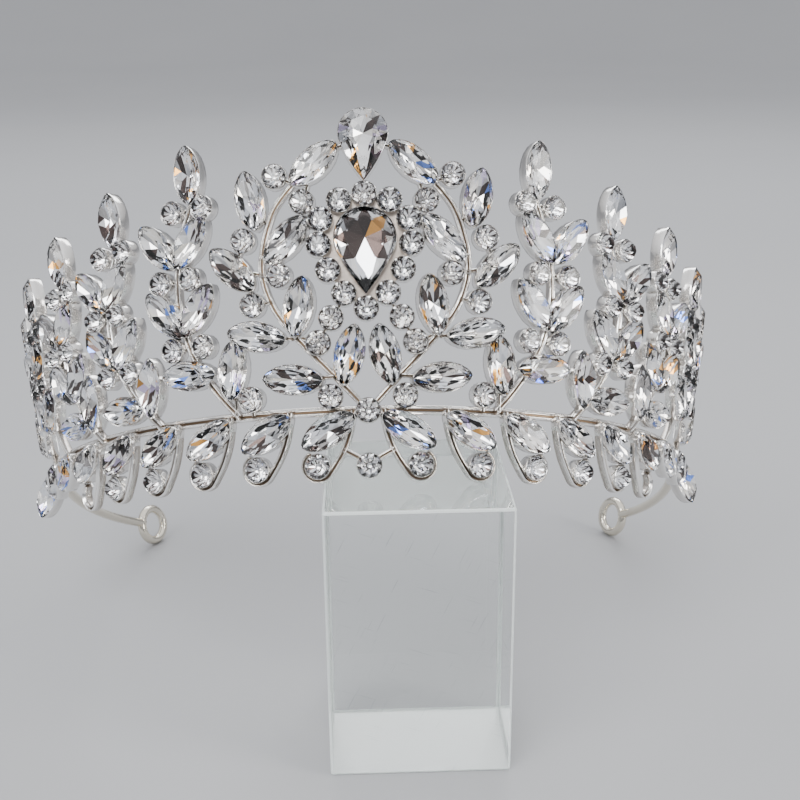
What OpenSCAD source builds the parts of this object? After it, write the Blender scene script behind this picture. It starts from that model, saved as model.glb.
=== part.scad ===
// Pageant crown of cast metal and cut glass stones, resting on a clear glass block.
// Millimetres, +Z up, front towards -Y, origin at the middle of the block's base.
// The crown wall is charted flat: "across" runs along the rail from the front centre and
// "up" runs up the wall from the rail. at_wall and wall_point bend that chart round the head.

/* [Block] */
// Width of the glass block
block_w = 40; // [30:1:60]
// Depth of the glass block
block_d = 40; // [30:1:60]
// Height of the glass block
block_h = 64; // [50:1:70]
// How far behind the block's front edge the crown touches its top
rest_back = 14; // [10:1:20]
// How far the crown's middle lies to the left of the block's middle
rest_side = 10; // [8:0.5:13]

/* [Crown] */
// Radius of the rail, which follows the head
rail_r = 84; // [80:1:90]
// Outward lean of the wall
flare = 11; // [6:1:14]
// Backward tilt of the crown as it rests
tilt = 33; // [28:1:36]
// Length of the wall's arc on each side of the front
arc_half = 120; // [118:1:124]
// Height of the rail strip
rail_w = 1.9; // [1.6:0.1:2.4]
// Thickness of the wires through the wall
wire_t = 1.4; // [1.2:0.1:1.8]
// Thickness of the cast settings, from the back of the wires outwards
metal_t = 2.6; // [2.2:0.1:3]

/* [Stones] */
// Length of a leaf stone in its setting
leaf_l = 13; // [11:0.5:13]
// Width of a leaf stone in its setting
leaf_w = 5.8; // [4.8:0.2:6]
// Width of a round stone in its setting
round_d = 5.2; // [4.4:0.2:5.4]
// Height that a stone stands above its setting
stone_h = 1.9; // [1.4:0.1:2.4]
// Rim of metal left round a stone
rim = 0.35; // [0.25:0.05:0.5]
// Gap between a stone and its setting
stone_gap = 0.1; // [0.1:0.02:0.2]
// Width of the pear stone at the top, in its setting
top_pear_w = 11; // [9:0.5:12]
// Length of the pear stone at the top, in its setting
top_pear_l = 16; // [13:0.5:16.5]
// Width of the pear stone in the heart, in its setting
heart_pear_w = 13.6; // [12:0.2:13.8]
// Length of the pear stone in the heart, in its setting
heart_pear_l = 19; // [17:0.5:19.5]

/* [Scrolls] */
// Distance of the first scroll from the front centre
scroll_start = 11; // [10.8:0.2:12]
// Distance from one scroll to the next
scroll_step = 13.3; // [13.2:0.1:13.6]
// Leaf stones of the band on each side, without the one at its end
band_count = 8; // [7:1:8]
// Scrolls on each side; the last one holds no stone
scroll_count = 6; // [5:1:6]
// Drop of a scroll's round stone below the rail
scroll_drop = 11.5; // [11:0.5:13]
// Width of a scroll's wire
scroll_wire = 1; // [0.8:0.1:1.3]

/* [Sprigs] */
// Distance of the first sprig's tip from the front centre
sprig_start = 34.5; // [34:0.5:36]
// Distance from one sprig to the next
sprig_step = 20; // [19.5:0.1:20.4]
// Width of a sprig's stem
stem_wire = 1.2; // [1:0.1:1.6]
// Lean of the paired leaves from the upright
leaf_lean = 38; // [34:1:40]

/* [Heart] */
// Width of the heart's wire
heart_wire = 1.2; // [1:0.1:1.6]

/* [End loops] */
// Direction of the end loops, turned round the head from the front
loop_turn = 120; // [116:1:126]
// Outer radius of an end loop
loop_r = 6; // [5:0.5:7]
// Width of the wire of the end loops
loop_wire = 2; // [1.6:0.1:2.4]

/* [Hidden] */
// Clearance between the crown and the block
rest_gap = 0.15;
// Width of the small bars that carry round stones
bar_w = 0.9;
// Height of the table facet's corners, as a share of the stone's width
table_share = 0.55;
// How far below a row of round stones the next pair of leaves grows from the stem, and how far
// a leaf's middle lies from the stem
pair_drop = 12.2;
leaf_root = leaf_l / 2 - 0.2;
// The hook round a scroll's stone
hook_r = round_d / 2 + scroll_wire / 2 - 0.1;
scroll_low = scroll_drop + hook_r + scroll_wire / 2;
// The backs of the flat plates lie a little in front of the backs of the wires
plate_back = 0.1 - wire_t / 2;

// Where the ring sits, so that the second scroll on the right rests on the block
rest_az = (scroll_start + scroll_step) / rail_r * 180 / PI;
low_r = rail_r - scroll_low * sin(flare) + plate_back * cos(flare);
low_z = -scroll_low * cos(flare) - plate_back * sin(flare);
ring_y = rest_back - block_d / 2 + low_r * cos(rest_az) * cos(tilt) - low_z * sin(tilt);
ring_z = block_h + rest_gap - low_r * cos(rest_az) * sin(tilt) - low_z * cos(tilt);

// The wires of the end loops are bent by hand: how much further round each loop lies, how far
// out of the head's circle, and its height, so that it touches what the block stands on
function loop_round(side) = loop_turn + (side == "left" ? 1.6 : -2.4);
function loop_out(side) = side == "left" ? -3.6 : 2.8;
function loop_z(side) =
    let (reach = loop_r * sqrt(pow(cos(tilt), 2) + pow(sin(loop_round(side)) * sin(tilt), 2)))
    (reach + 0.05 - ring_z - (rail_r + loop_out(side)) * cos(loop_round(side)) * sin(tilt)) / cos(tilt);

// The tops of the sprigs above the rail, front to side, the distance from one row of round
// stones to the next, and how many such rows a sprig has
sprig_rows = [
    // top, step, rows
    [60.5, 15, 3],
    [55, 13.6, 3],
    [51, 13.6, 2],
    [47.5, 13.6, 2],
    [44.5, 13.6, 2],
];

// The leaf stones near each sprig's foot
sprig_feet = [
    // beside, up, turn
    [[4, 10.2, 86]],
    [[-6, 9, -8], [3.2, 5.2, 86]],
    [[-6, 9, -8], [3.2, 5.2, 86]],
    [],
    [],
];
sprig_count = len(sprig_rows);

// The heart's stones on one side stand on flat plates, at these distances along the rail
heart_plates = [0, 12, 21];

// The leaf stones of the heart on one side: the plate, the place beside the plate's upright,
// the height, and the turn from the upright, where a plus turn leans the upper end outwards
heart_leaves = [
    // plate, beside, up, turn
    [1, -3, 52.8, -51],
    [2, 1.1, 46, 8],
    [2, 6, 31.6, 44],
    [2, -6.3, 36.8, -46],
    [2, -8.2, 22.4, -12],
    [2, 1.5, 16.8, 78],
    [0, 3.8, 11.8, -12],
    [2, -5.9, 7, 84],
    [2, 7.3, 10.2, -8],
];

// The round stones of the heart on one side, beside its wire
heart_rounds = [
    // plate, beside, up
    [1, -0.1, 44.8],
    [1, 5.6, 50.6],
    [2, -4.2, 29.4],
    [2, 3.3, 37.6],
    [2, 2.1, 23.6],
    [2, 3.6, 3.6],
    [0, 7.5, 19.6],
    [0, 10.3, 14.4],
    [0, 7.9, 3],
];

// Short bars of metal that join the heart's settings to their neighbours, on one side
heart_bars = [
    // plate, beside, up, to beside, to up
    [1, -0.1, 44.8, -3, 52.8],
    [1, -6, 55.4, -9.1, 56.4],
    [1, 5.6, 50.6, 1.5, 49],
    [2, -4.2, 29.4, -0.5, 30],
    [2, 6, 31.6, -0.5, 30],
    [2, 3.3, 37.6, 6, 31.6],
    [2, 1.1, 46, -1.8, 41],
    [2, 2.1, 23.6, -1.6, 24],
    [2, 3.6, 3.6, 3.6, 0],
    [2, 7.3, 10.2, 7.3, 0],
    [2, 1.5, 16.8, -6, 15.8],
    [2, -5.9, 7, -14.6, 7],
    [2, -6.3, 36.8, -0.5, 33.4],
    [0, 7.5, 19.6, 4.2, 24.4],
    [0, 7.5, 19.6, 10.3, 14.4],
    [0, 10.3, 14.4, 13.8, 15.6],
    [0, 7.9, 3, 7.9, 0],
    [0, 3.8, 11.8, 6.6, 7.2],
];

// The ring of round stones round the heart's pear stone, one side and the two middle ones
halo_rounds = [
    // beside, up
    [5.4, 44.6],
    [9.4, 40.6],
    [9.9, 35.3],
    [8, 29.8],
    [4.7, 24.8],
];
halo_middle = [46, 21.6];

// The heart's wire on one side, from the rail to the top leaf
heart_path = [[0.5, 0.5], [6.6, 7.2], [14.8, 16.5], [19.4, 24], [20.8, 32.5], [18, 43], [13.4, 49.2]];

heart_pear_up = 36.6;
top_pear_up = 59;
centre_round_up = -11.6;

sides = ["left", "right"];
leaf_names = [for (side = sides) for (i = [1:len(heart_leaves)]) str("heart_leaf_stone_", side, "_", i)];
tip_names = [for (side = sides) for (i = [1:sprig_count]) str("sprig_tip_stone_", side, "_", i)];
spray_names = [for (side = sides) for (i = [1:sprig_count]) str("sprig_stones_", side, "_", i)];

// Turn round the head for a distance along the rail
function azimuth(across) = across / rail_r * 180 / PI;

// A point of the flat chart on the bent wall, raised outwards by rise
function wall_point(across, up, rise = 0) =
    let (r = rail_r + up * sin(flare) + rise * cos(flare), z = up * cos(flare) - rise * sin(flare))
    [r * sin(azimuth(across)), -r * cos(azimuth(across)), z];

// A smooth curve through the points of a path, with so many steps between two points
function smooth(path, steps) = [
    for (i = [0:len(path) - 2], k = [0:steps - (i < len(path) - 2 ? 1 : 0)])
        let (
            t = k / steps,
            a = path[max(i - 1, 0)],
            b = path[i],
            c = path[i + 1],
            d = path[min(i + 2, len(path) - 1)]
        )
        0.5 * (2 * b + (c - a) * t + (2 * a - 5 * b + 4 * c - d) * t * t
            + (3 * b - a - 3 * c + d) * t * t * t)
];

// How far a sprig's stem bows outwards at a share of its height
function bow(share) = -7 * pow(1 - share, 3) + 27 * pow(1 - share, 2) * share
    + 24 * (1 - share) * share * share;

// Stem place beside the sprig's upright at a height
function sprig_at(i) = sprig_start + i * sprig_step;
function stem_top(i) = sprig_rows[i][0] - leaf_l + 1;
function stem_x(i, up) = bow(up / stem_top(i));

// The stones of one sprig below its tip: place beside the sprig's own upright, up, turn, and
// 1 for a leaf or 0 for a round, whose turn points its neck at the stem. A sprig is a flat
// plate that stands against the wall.
function grown(i, up, lean) =
    [stem_x(i, up) + leaf_root * sin(lean), up + leaf_root * cos(lean), lean, 1];
function row_up(i, row) = sprig_rows[i][0] - 14.4 - row * sprig_rows[i][1];
function sprig_stones(i) = [
    for (row = [0:sprig_rows[i][2] - 1], s = [-1, 1])
        [stem_x(i, row_up(i, row)) + s * 3.8, row_up(i, row), 90 + s * 90, 0],
    for (row = [0:1], s = [-1, 1])
        grown(i, row_up(i, row) - pair_drop, s * leaf_lean),
    for (f = sprig_feet[i]) [f[0], f[1], f[2], 1],
];

// Outlines of few corners: a leaf, a pear with its round end up, and a circle. A stone has
// eight corners, and the setting under a leaf or a round stone has six.
function leaf_stone_outline(l, w) = [for (s = [1, -1], y = [-0.5, -0.27, 0, 0.27])
    [s * w * (y == -0.5 ? 0 : y == 0 ? 0.5 : 0.39), s * y * l]];
function leaf_cup_outline(l, w) = [for (s = [1, -1], y = [-0.5, -0.16, 0.16])
    [s * w * (y == -0.5 ? 0 : 0.49), s * y * l]];
function pear_outline(l, w) = concat([[0, -l + w / 2]],
    [for (a = [-28:29.5:208]) [w / 2 * cos(a), w / 2 * sin(a)]]);
function round_outline(d, corners) =
    [for (a = [0:360 / corners:359]) d / 2 * [cos(a), sin(a)]];

// The outline of a flat wire along a path
function stroke(path, w) =
    let (n = len(path), sides = [for (s = [1, -1]) [for (j = [0:n - 1])
        let (d = path[min(j + 1, n - 1)] - path[max(j - 1, 0)])
        path[j] + s * w / 2 / norm(d) * [-d[1], d[0]]]])
    concat(sides[0], [for (j = [n - 1:-1:0]) sides[1][j]]);

module at_wall(across, up, turn = 0) {
    rotate([0, 0, azimuth(across)])
        translate([0, -(rail_r + up * sin(flare)), up * cos(flare)])
            rotate([90 + flare, 0, 0])
                rotate([0, 0, -turn])
                    children();
}

// Stands the crown on the block and the end loops
module rested() {
    translate([-rest_side, ring_y, ring_z])
        rotate([-tilt, 0, 0])
            children();
}

// A wire that lies in the wall, swept along points of the chart with a four-sided section
module wire(path, w, t) {
    n = len(path);
    corners = [[1, -1], [1, 1], [-1, 1], [-1, -1]] / 2;
    function way(j) = path[min(j + 1, n - 1)] - path[max(j - 1, 0)];
    points = [for (j = [0:n - 1], c = corners)
        let (d = way(j) / norm(way(j)) * w * c[0])
        wall_point(path[j][0] - d[1], path[j][1] + d[0], t * c[1])];
    walls = [for (j = [0:n - 2], i = [0:3])
        [4 * j + i, 4 * j + 4 + i, 4 * j + 4 + (i + 1) % 4, 4 * j + (i + 1) % 4]];
    polyhedron(points, concat(walls, [[0, 1, 2, 3], [for (i = [3:-1:0]) 4 * (n - 1) + i]]));
}

module both_sides() {
    children();
    mirror([1, 0, 0]) children();
}

// The plate of metal that a flat outline is cast as
module plate() {
    translate([0, 0, plate_back]) linear_extrude(metal_t) children();
}

// A cut stone: its girdle above the setting, eight or more facets, and a table
module stone(outline) {
    translate([0, 0, plate_back + metal_t + stone_gap])
        hull() linear_extrude(stone_h, scale = table_share) polygon(outline);
}

module leaf_cup() { polygon(leaf_cup_outline(leaf_l, leaf_w)); }
module round_cup() { polygon(round_outline(round_d, 6)); }
// A round setting drawn out to a point on one side, where it joins a stem
module necked_cup() {
    cup = round_outline(round_d, 6);
    polygon([[cup[0][0] + 1, 0], for (k = [1:5]) cup[k]]);
}
module leaf_stone() { stone(leaf_stone_outline(leaf_l - 2 * rim, leaf_w - 2 * rim)); }
module round_stone() { stone(round_outline(round_d - 2 * rim, 8)); }

// Puts flat outlines or stones at the places of a list, by their kind
module placed(s) { translate([s[0], s[1], 0]) rotate(-s[2]) children(); }

// The place of a scroll, and of the leaf stone beside it on the scroll's own plate
function scroll_at(k) = scroll_start + k * scroll_step;
band_leaf = [-2.6, -4.2, 120];

// The leaf stone at the rail's end: its lean from the upright and its twist out of the wall.
// A round stone lies beside it.
end_lean = 142;
end_twist = 45;
end_round = [arc_half - 8, -3.2];

// The leaf stone at the rail's end hangs from its upper tip and is twisted towards the front
module at_end() {
    at_wall(arc_half - 2, 0) rotate([0, -end_twist, 0]) rotate(-end_lean)
        translate([0, leaf_l / 2 - 1, 0]) children();
}

// One plate of the band: a leaf's setting, and a scroll with an arm that hooks round its stone
module band_plate(k) {
    arm = [[-8, 0], [-5.4, -9]];
    hook = [for (a = [-150:60:30]) [hook_r * cos(a), hook_r * sin(a) - scroll_drop]];
    at_wall(scroll_at(k), 0) plate() {
        if (k < scroll_count) polygon(stroke(concat(arm, hook), scroll_wire));
        if (k < scroll_count - 1) placed([0, -scroll_drop, 0]) round_cup();
        placed(band_leaf) leaf_cup();
    }
}

// The stem of a sprig with the settings of its stones
module sprig(i) {
    at_wall(sprig_at(i), 0) plate() {
        polygon(stroke([for (k = [0:5]) let (up = k / 5 * stem_top(i)) [stem_x(i, up), up]], stem_wire));
        placed([0, sprig_rows[i][0] - leaf_l / 2, 0]) leaf_cup();
        for (s = sprig_stones(i))
            placed(s) if (s[3] == 1) leaf_cup(); else necked_cup();
    }
}

// One of the heart's plates with its settings
module heart_plate(k) {
    at_wall(heart_plates[k], 0) plate() {
        for (s = heart_leaves) if (s[0] == k) placed([s[1], s[2], s[3]]) leaf_cup();
        for (s = heart_rounds) if (s[0] == k) placed([s[1], s[2], 0]) round_cup();
        for (b = heart_bars) if (b[0] == k) polygon(stroke([[b[1], b[2]], [b[3], b[4]]], bar_w));
    }
}

// The heart's pear setting and the ring of round settings about it, cast as one flat plate
module halo() {
    at_wall(0, 0) plate() {
        ring = concat([[0, halo_middle[0]]], halo_rounds, [[0, halo_middle[1]]]);
        polygon(concat(ring, [for (k = [len(halo_rounds):-1:1]) [-ring[k][0], ring[k][1]]]));
        for (up = halo_middle) placed([0, up, 0]) round_cup();
        for (s = [1, -1], p = halo_rounds) placed([s * p[0], p[1], 0]) round_cup();
        polygon(stroke([[0, halo_middle[0]], [0, top_pear_up - top_pear_w / 2]], bar_w));
    }
}

// A wire from the end of the rail to the loop that a ribbon or comb is tied to
module end_loop(side) {
    start = azimuth(arc_half) - 4;
    for (k = [0:2])
        hull() for (j = [k, k + 1])
            rotate([0, 0, start + (loop_round(side) - 3 - start) * j / 3])
                translate([0, -rail_r - loop_out(side) * j / 3, loop_z(side) * (1 - pow(1 - j / 3, 2))])
                    rotate([0, 90, 0]) cylinder(d = loop_wire, h = 0.5, $fn = 6);
    rotate([0, 0, loop_round(side)]) translate([0, -rail_r - loop_out(side), loop_z(side)])
        rotate([90, 0, 0])
            rotate_extrude($fn = 12)
                translate([loop_r - loop_wire / 2, 0]) circle(d = loop_wire, $fn = 5);
}

module crown_frame() {
    color("silver") rested() {
        wire([for (k = [-15:15]) [arc_half * k / 15, 0]], rail_w, wire_t);
        both_sides() {
            for (k = [0:band_count - 1]) band_plate(k);
            at_end() plate() leaf_cup();
            at_wall(end_round[0], end_round[1]) plate() round_cup();
            for (i = [0:sprig_count - 1]) sprig(i);
            for (k = [0:len(heart_plates) - 1]) heart_plate(k);
            wire(smooth(heart_path, 2), heart_wire, wire_t);
        }
        for (side = sides) mirror([side == "left" ? 1 : 0, 0, 0]) end_loop(side);
        at_wall(0, top_pear_up) plate() polygon(pear_outline(top_pear_l, top_pear_w));
        halo();
        for (up = [0, centre_round_up]) at_wall(0, up) plate() round_cup();
        wire([[0, 0], [0, centre_round_up]], bar_w, wire_t);
    }
}

module glass_block() {
    color("lightcyan", 0.5) translate([-block_w / 2, -block_d / 2, 0]) cube([block_w, block_d, block_h]);
}

module top_pear_stone() {
    color("white") rested() at_wall(0, top_pear_up)
        stone(pear_outline(top_pear_l - 2 * rim, top_pear_w - 2 * rim));
}

module heart_pear_stone() {
    color("white") rested() at_wall(0, 0) placed([0, heart_pear_up, 0])
        stone(pear_outline(heart_pear_l - 2 * rim, heart_pear_w - 2 * rim));
}

module halo_stones() {
    color("white") rested() {
        at_wall(0, 0) for (s = [1, -1], p = halo_rounds) placed([s * p[0], p[1], 0]) round_stone();
        at_wall(0, 0) for (up = halo_middle) placed([0, up, 0]) round_stone();
    }
}

module heart_round_stones() {
    color("white") rested() both_sides()
        for (s = heart_rounds) at_wall(heart_plates[s[0]], 0) placed([s[1], s[2], 0]) round_stone();
}

module band_leaf_stones() {
    color("white") rested() both_sides() {
        for (k = [0:band_count - 1]) at_wall(scroll_at(k), 0) placed(band_leaf) leaf_stone();
        at_end() leaf_stone();
    }
}

module band_round_stones() {
    color("white") rested() {
        both_sides() {
            for (k = [0:scroll_count - 2])
                at_wall(scroll_at(k), 0) placed([0, -scroll_drop, 0]) round_stone();
            at_wall(end_round[0], end_round[1]) round_stone();
        }
        for (up = [0, centre_round_up]) at_wall(0, up) round_stone();
    }
}

// A stone or a group of stones on one side of the crown
module sided(side) {
    color("white") rested() mirror([side == "left" ? 1 : 0, 0, 0]) children();
}
module heart_leaf_stone(s) { at_wall(heart_plates[s[0]], 0) placed([s[1], s[2], s[3]]) leaf_stone(); }
module sprig_tip_stone(i) {
    at_wall(sprig_at(i), 0) placed([0, sprig_rows[i][0] - leaf_l / 2, 0]) leaf_stone();
}
module sprig_stone_group(i) {
    at_wall(sprig_at(i), 0)
        for (s = sprig_stones(i))
            placed(s) if (s[3] == 1) leaf_stone(); else round_stone();
}

glass_block();
crown_frame();
top_pear_stone();
heart_pear_stone();
halo_stones();
heart_round_stones();
band_leaf_stones();
band_round_stones();
for (side = sides, i = [1:len(heart_leaves)])
    sided(side) heart_leaf_stone(heart_leaves[i - 1]);
for (side = sides, i = [1:sprig_count])
    sided(side) sprig_tip_stone(i - 1);
for (side = sides, i = [1:sprig_count])
    sided(side) sprig_stone_group(i - 1);
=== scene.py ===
# %% [markdown]
# A pageant crown that rests on a glass block.
# The real crown is cast from white metal and silver plated. Every leaf and dot of its pattern is
# a shallow metal cup that holds a cut glass stone with a mirrored back. Thin grooved wires join
# the cups, and a rail that follows the head carries them all.
# A model in solids already says where everything sits. It could just be given colours, but its
# cups have no rims and its wires no grooves. So finer pieces are made here, and each takes the
# place of its solid.

# %% Load the solid model
import math

import bpy
from mathutils import Matrix, Vector


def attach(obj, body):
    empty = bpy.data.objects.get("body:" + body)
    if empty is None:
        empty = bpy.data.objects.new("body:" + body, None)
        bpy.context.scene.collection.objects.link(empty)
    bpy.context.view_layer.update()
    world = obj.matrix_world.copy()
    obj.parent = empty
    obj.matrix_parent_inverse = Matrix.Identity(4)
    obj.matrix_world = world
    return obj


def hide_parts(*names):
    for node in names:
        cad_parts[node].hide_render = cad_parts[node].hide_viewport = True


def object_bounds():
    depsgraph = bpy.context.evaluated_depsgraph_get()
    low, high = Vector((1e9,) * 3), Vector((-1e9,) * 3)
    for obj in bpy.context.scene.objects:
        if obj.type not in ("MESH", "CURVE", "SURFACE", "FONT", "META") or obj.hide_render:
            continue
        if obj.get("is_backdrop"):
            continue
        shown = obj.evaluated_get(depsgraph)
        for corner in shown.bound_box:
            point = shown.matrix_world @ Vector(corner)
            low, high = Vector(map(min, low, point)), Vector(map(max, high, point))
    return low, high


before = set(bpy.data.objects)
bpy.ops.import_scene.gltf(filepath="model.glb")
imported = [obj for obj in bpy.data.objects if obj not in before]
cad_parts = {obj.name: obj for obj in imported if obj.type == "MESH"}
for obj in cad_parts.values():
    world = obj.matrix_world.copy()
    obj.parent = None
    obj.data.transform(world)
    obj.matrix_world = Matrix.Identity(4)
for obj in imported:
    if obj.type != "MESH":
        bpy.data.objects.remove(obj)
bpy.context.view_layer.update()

MM = 0.001

# %% [markdown]
# The crown's wall is a band that leans outwards round the head, and the whole ring is tilted
# back. Each cup could be turned by hand until it fits, but a chart is quicker and more exact. It
# is the wall drawn flat, in millimetres: "across" runs along the rail from the front, "up" runs
# up the wall, and "rise" stands out of it. Two helpers bend the chart: one gives a point on the
# bent wall, the other the place of a flat plate that touches the wall.

# %% How the ring sits on the block
RAIL_RADIUS = 84.0
FLARE = math.radians(11)
TILT = math.radians(33)
BLOCK = (40.0, 40.0, 64.0)
PLATE_BACK = -0.6
SCROLL_START, SCROLL_STEP, SCROLL_DROP = 11.0, 13.3, 11.5
SCROLL_BELOW_STONE = 3.5
REST_BEHIND_EDGE, REST_SIDE, REST_GAP = 14.0, 10.0, 0.15


def ring_centre():
    """The rail's centre, so that the second scroll on the right rests on the block."""
    turn = (SCROLL_START + SCROLL_STEP) / RAIL_RADIUS
    low = SCROLL_DROP + SCROLL_BELOW_STONE
    out = RAIL_RADIUS - low * math.sin(FLARE) + PLATE_BACK * math.cos(FLARE)
    down = -low * math.cos(FLARE) - PLATE_BACK * math.sin(FLARE)
    back = out * math.cos(turn) * math.cos(TILT) - down * math.sin(TILT)
    drop = out * math.cos(turn) * math.sin(TILT) + down * math.cos(TILT)
    rest = REST_BEHIND_EDGE - BLOCK[1] / 2
    return Vector((-REST_SIDE, rest + back, BLOCK[2] + REST_GAP - drop))


RESTED = Matrix.Translation(ring_centre()) @ Matrix.Rotation(-TILT, 4, "X")
print("rail centre at", [round(v, 1) for v in ring_centre()], "mm")

# %% Bending the chart
TO_METRES = Matrix.Diagonal((MM, MM, MM, 1))


def wall_point(across, up, rise=0.0):
    """A point of the chart on the bent wall, in metres."""
    out = RAIL_RADIUS + up * math.sin(FLARE) + rise * math.cos(FLARE)
    height = up * math.cos(FLARE) - rise * math.sin(FLARE)
    turn = across / RAIL_RADIUS
    return TO_METRES @ RESTED @ Vector((out * math.sin(turn), -out * math.cos(turn), height))


def turned(degrees, axis="Z"):
    """A turn about an axis."""
    return Matrix.Rotation(math.radians(degrees), 4, axis)


def plate_at(across):
    """The place of a flat plate that touches the wall at a distance along the rail."""
    lean = turned(90 + math.degrees(FLARE), "X")
    round_head = Matrix.Rotation(across / RAIL_RADIUS, 4, "Z")
    return RESTED @ round_head @ Matrix.Translation((0, -RAIL_RADIUS, 0)) @ lean


def on_plate(plate, beside, up, turn=0.0):
    """The place of a cup on a plate; a plus turn leans its upper end to the right."""
    return plate @ Matrix.Translation((beside, up, 0)) @ turned(-turn)


print("front of the rail at", [round(v / MM, 1) for v in wall_point(0, 0)], "mm")

# %% [markdown]
# Now the pattern. Ten sprigs of leaves and dots climb from the rail, with a heart in the middle.
# It could be placed stone by stone, but its two sides mirror each other and its sprigs follow one
# rule. So a few short tables of one side are enough. A row of a table says how far a stone
# lies beside the middle of its plate, how far up, and how far it is turned.

# %% Sizes of the stones, and places in the heart
LEAF = (13.5, 6.8)
ROUND = 5.6
TOP_PEAR, TOP_PEAR_UP = (16.0, 11.0), 59.0
HEART_PEAR, HEART_PEAR_UP = (19.0, 13.6), 36.6
HEART_PLATES = [0, 12, 21]
HEART_LEAVES = [
    # plate, beside, up, turn
    (1, -3, 52.8, -51), (2, 1.1, 46, 8), (2, 6, 31.6, 44), (2, -6.3, 36.8, -46),
    (2, -8.2, 22.4, -12), (2, 1.5, 16.8, 78), (0, 3.8, 11.8, -12), (2, -5.9, 7, 84),
    (2, 7.3, 10.2, -8),
]
HEART_ROUNDS = [
    # plate, beside, up
    (1, -0.1, 44.8), (1, 5.6, 50.6), (2, -4.2, 29.4), (2, 3.3, 37.6), (2, 2.1, 23.6),
    (2, 3.6, 3.6), (0, 7.5, 19.6), (0, 10.3, 14.4), (0, 7.9, 3),
]
HALO_ROUNDS = [(5.4, 44.6), (9.4, 40.6), (9.9, 35.3), (8, 29.8), (4.7, 24.8)]
HALO_MIDDLE = [46, 21.6]
print(len(HEART_LEAVES), "leaves and", len(HEART_ROUNDS), "dots on each side of the heart")

# %% Stems of the sprigs
SPRIG_START, SPRIG_STEP = 34.5, 20.0
SPRIGS = [
    # top, height of a row, rows of round stones
    (60.5, 15, 3), (55, 13.6, 3), (51, 13.6, 2), (47.5, 13.6, 2), (44.5, 13.6, 2),
]
STEM_BOW = (-7, 9, 8)
STEM_IN_CUP = 1


def stem_top(i):
    """The height at which a stem ends, inside the cup at its tip."""
    return SPRIGS[i][0] - LEAF[0] + STEM_IN_CUP


def stem_beside(i, up):
    """How far a stem bows from the sprig's upright at a height."""
    share = up / stem_top(i)
    rest = 1 - share
    foot, low, high = STEM_BOW
    return foot * rest**3 + 3 * low * rest**2 * share + 3 * high * rest * share**2


print("stems end at", [stem_top(i) for i in range(len(SPRIGS))], "mm")

# %% Stones on the stems
SPRIG_FEET = [
    # leaves at the foot, beyond the two pairs: beside, up, turn
    [(4, 10.2, 86)], [(-6, 9, -8), (3.2, 5.2, 86)], [(-6, 9, -8), (3.2, 5.2, 86)], [], [],
]
ROW_BELOW_TOP, ROUND_BESIDE = 14.4, 3.8
LEAF_BELOW_ROW, LEAF_LEAN, LEAF_IN_STEM = 12.2, 38, 0.2


def sprig_row(i, row):
    """The height of a pair of round stones, counted from the top."""
    return SPRIGS[i][0] - ROW_BELOW_TOP - row * SPRIGS[i][1]


def sprig_rounds(i):
    """Round stones of a sprig: beside, up, and the side of the stem."""
    rows = [sprig_row(i, row) for row in range(SPRIGS[i][2])]
    return [(stem_beside(i, up) + s * ROUND_BESIDE, up, s) for up in rows for s in (-1, 1)]


def sprig_leaves(i):
    """Leaf stones of a sprig below its tip: beside, up, turn."""
    root = LEAF[0] / 2 - LEAF_IN_STEM
    found = []
    for row in (0, 1):
        up = sprig_row(i, row) - LEAF_BELOW_ROW
        for s in (-1, 1):
            turn = math.radians(s * LEAF_LEAN)
            beside = stem_beside(i, up) + root * math.sin(turn)
            found.append((beside, up + root * math.cos(turn), s * LEAF_LEAN))
    return found + SPRIG_FEET[i]


sprig_counts = [len(sprig_rounds(i)) + len(sprig_leaves(i)) for i in range(len(SPRIGS))]
print(sprig_counts, "stones below the tips of a side's sprigs")

# %% [markdown]
# In the real crown each stone is glued into its own cup. Its place could be kept as three numbers
# and three angles, but one matrix holds both and bends with the chart. Such a matrix is called a
# spot here. The spots are listed by the name of the solid that the stones replace, and the cups
# use the same lists later, so a stone and its cup always agree.

# %% Spots of the heart's leaves and of the sprigs
SIDES = {"left": -1, "right": 1}
both = list(SIDES.values())


def mirrored(s, across, beside, up, turn=0.0):
    """A spot on one side; s is -1 on the left and 1 on the right."""
    return on_plate(plate_at(s * across), s * beside, up, s * turn)


def sprig_plate(i):
    """How far along the rail a sprig stands."""
    return SPRIG_START + i * SPRIG_STEP


leaf_spots, round_spots = {}, {}
for side, s in SIDES.items():
    for n, (p, beside, up, turn) in enumerate(HEART_LEAVES):
        spot = mirrored(s, HEART_PLATES[p], beside, up, turn)
        leaf_spots[f"heart_leaf_stone_{side}_{n + 1}"] = [spot]
    for i, (top, _, _) in enumerate(SPRIGS):
        tip = mirrored(s, sprig_plate(i), 0, top - LEAF[0] / 2)
        leaf_spots[f"sprig_tip_stone_{side}_{i + 1}"] = [tip]
        node = f"sprig_stones_{side}_{i + 1}"
        leaf_spots[node] = [mirrored(s, sprig_plate(i), *leaf) for leaf in sprig_leaves(i)]
        round_spots[node] = [mirrored(s, sprig_plate(i), x, up) for x, up, _ in sprig_rounds(i)]
print(len(leaf_spots), "groups with leaf stones,", len(round_spots), "with round ones")

# %% Spots of the band under the rail
ARC_END = 120.0
BAND_COUNT, SCROLL_COUNT = 8, 6
BAND_LEAF = (-2.6, -4.2, 120)
END_ROUND_ACROSS, END_ROUND_UP = ARC_END - 8, -3.2
END_LEAF_ACROSS, END_LEAF_TWIST, END_LEAF_HANG, END_LEAF_IN_RAIL = ARC_END - 2, 45, 142, 1
CENTRE_ROUND_UP = -11.6


def band_plate(k):
    """How far along the rail a scroll and its leaf hang."""
    return SCROLL_START + k * SCROLL_STEP


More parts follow.
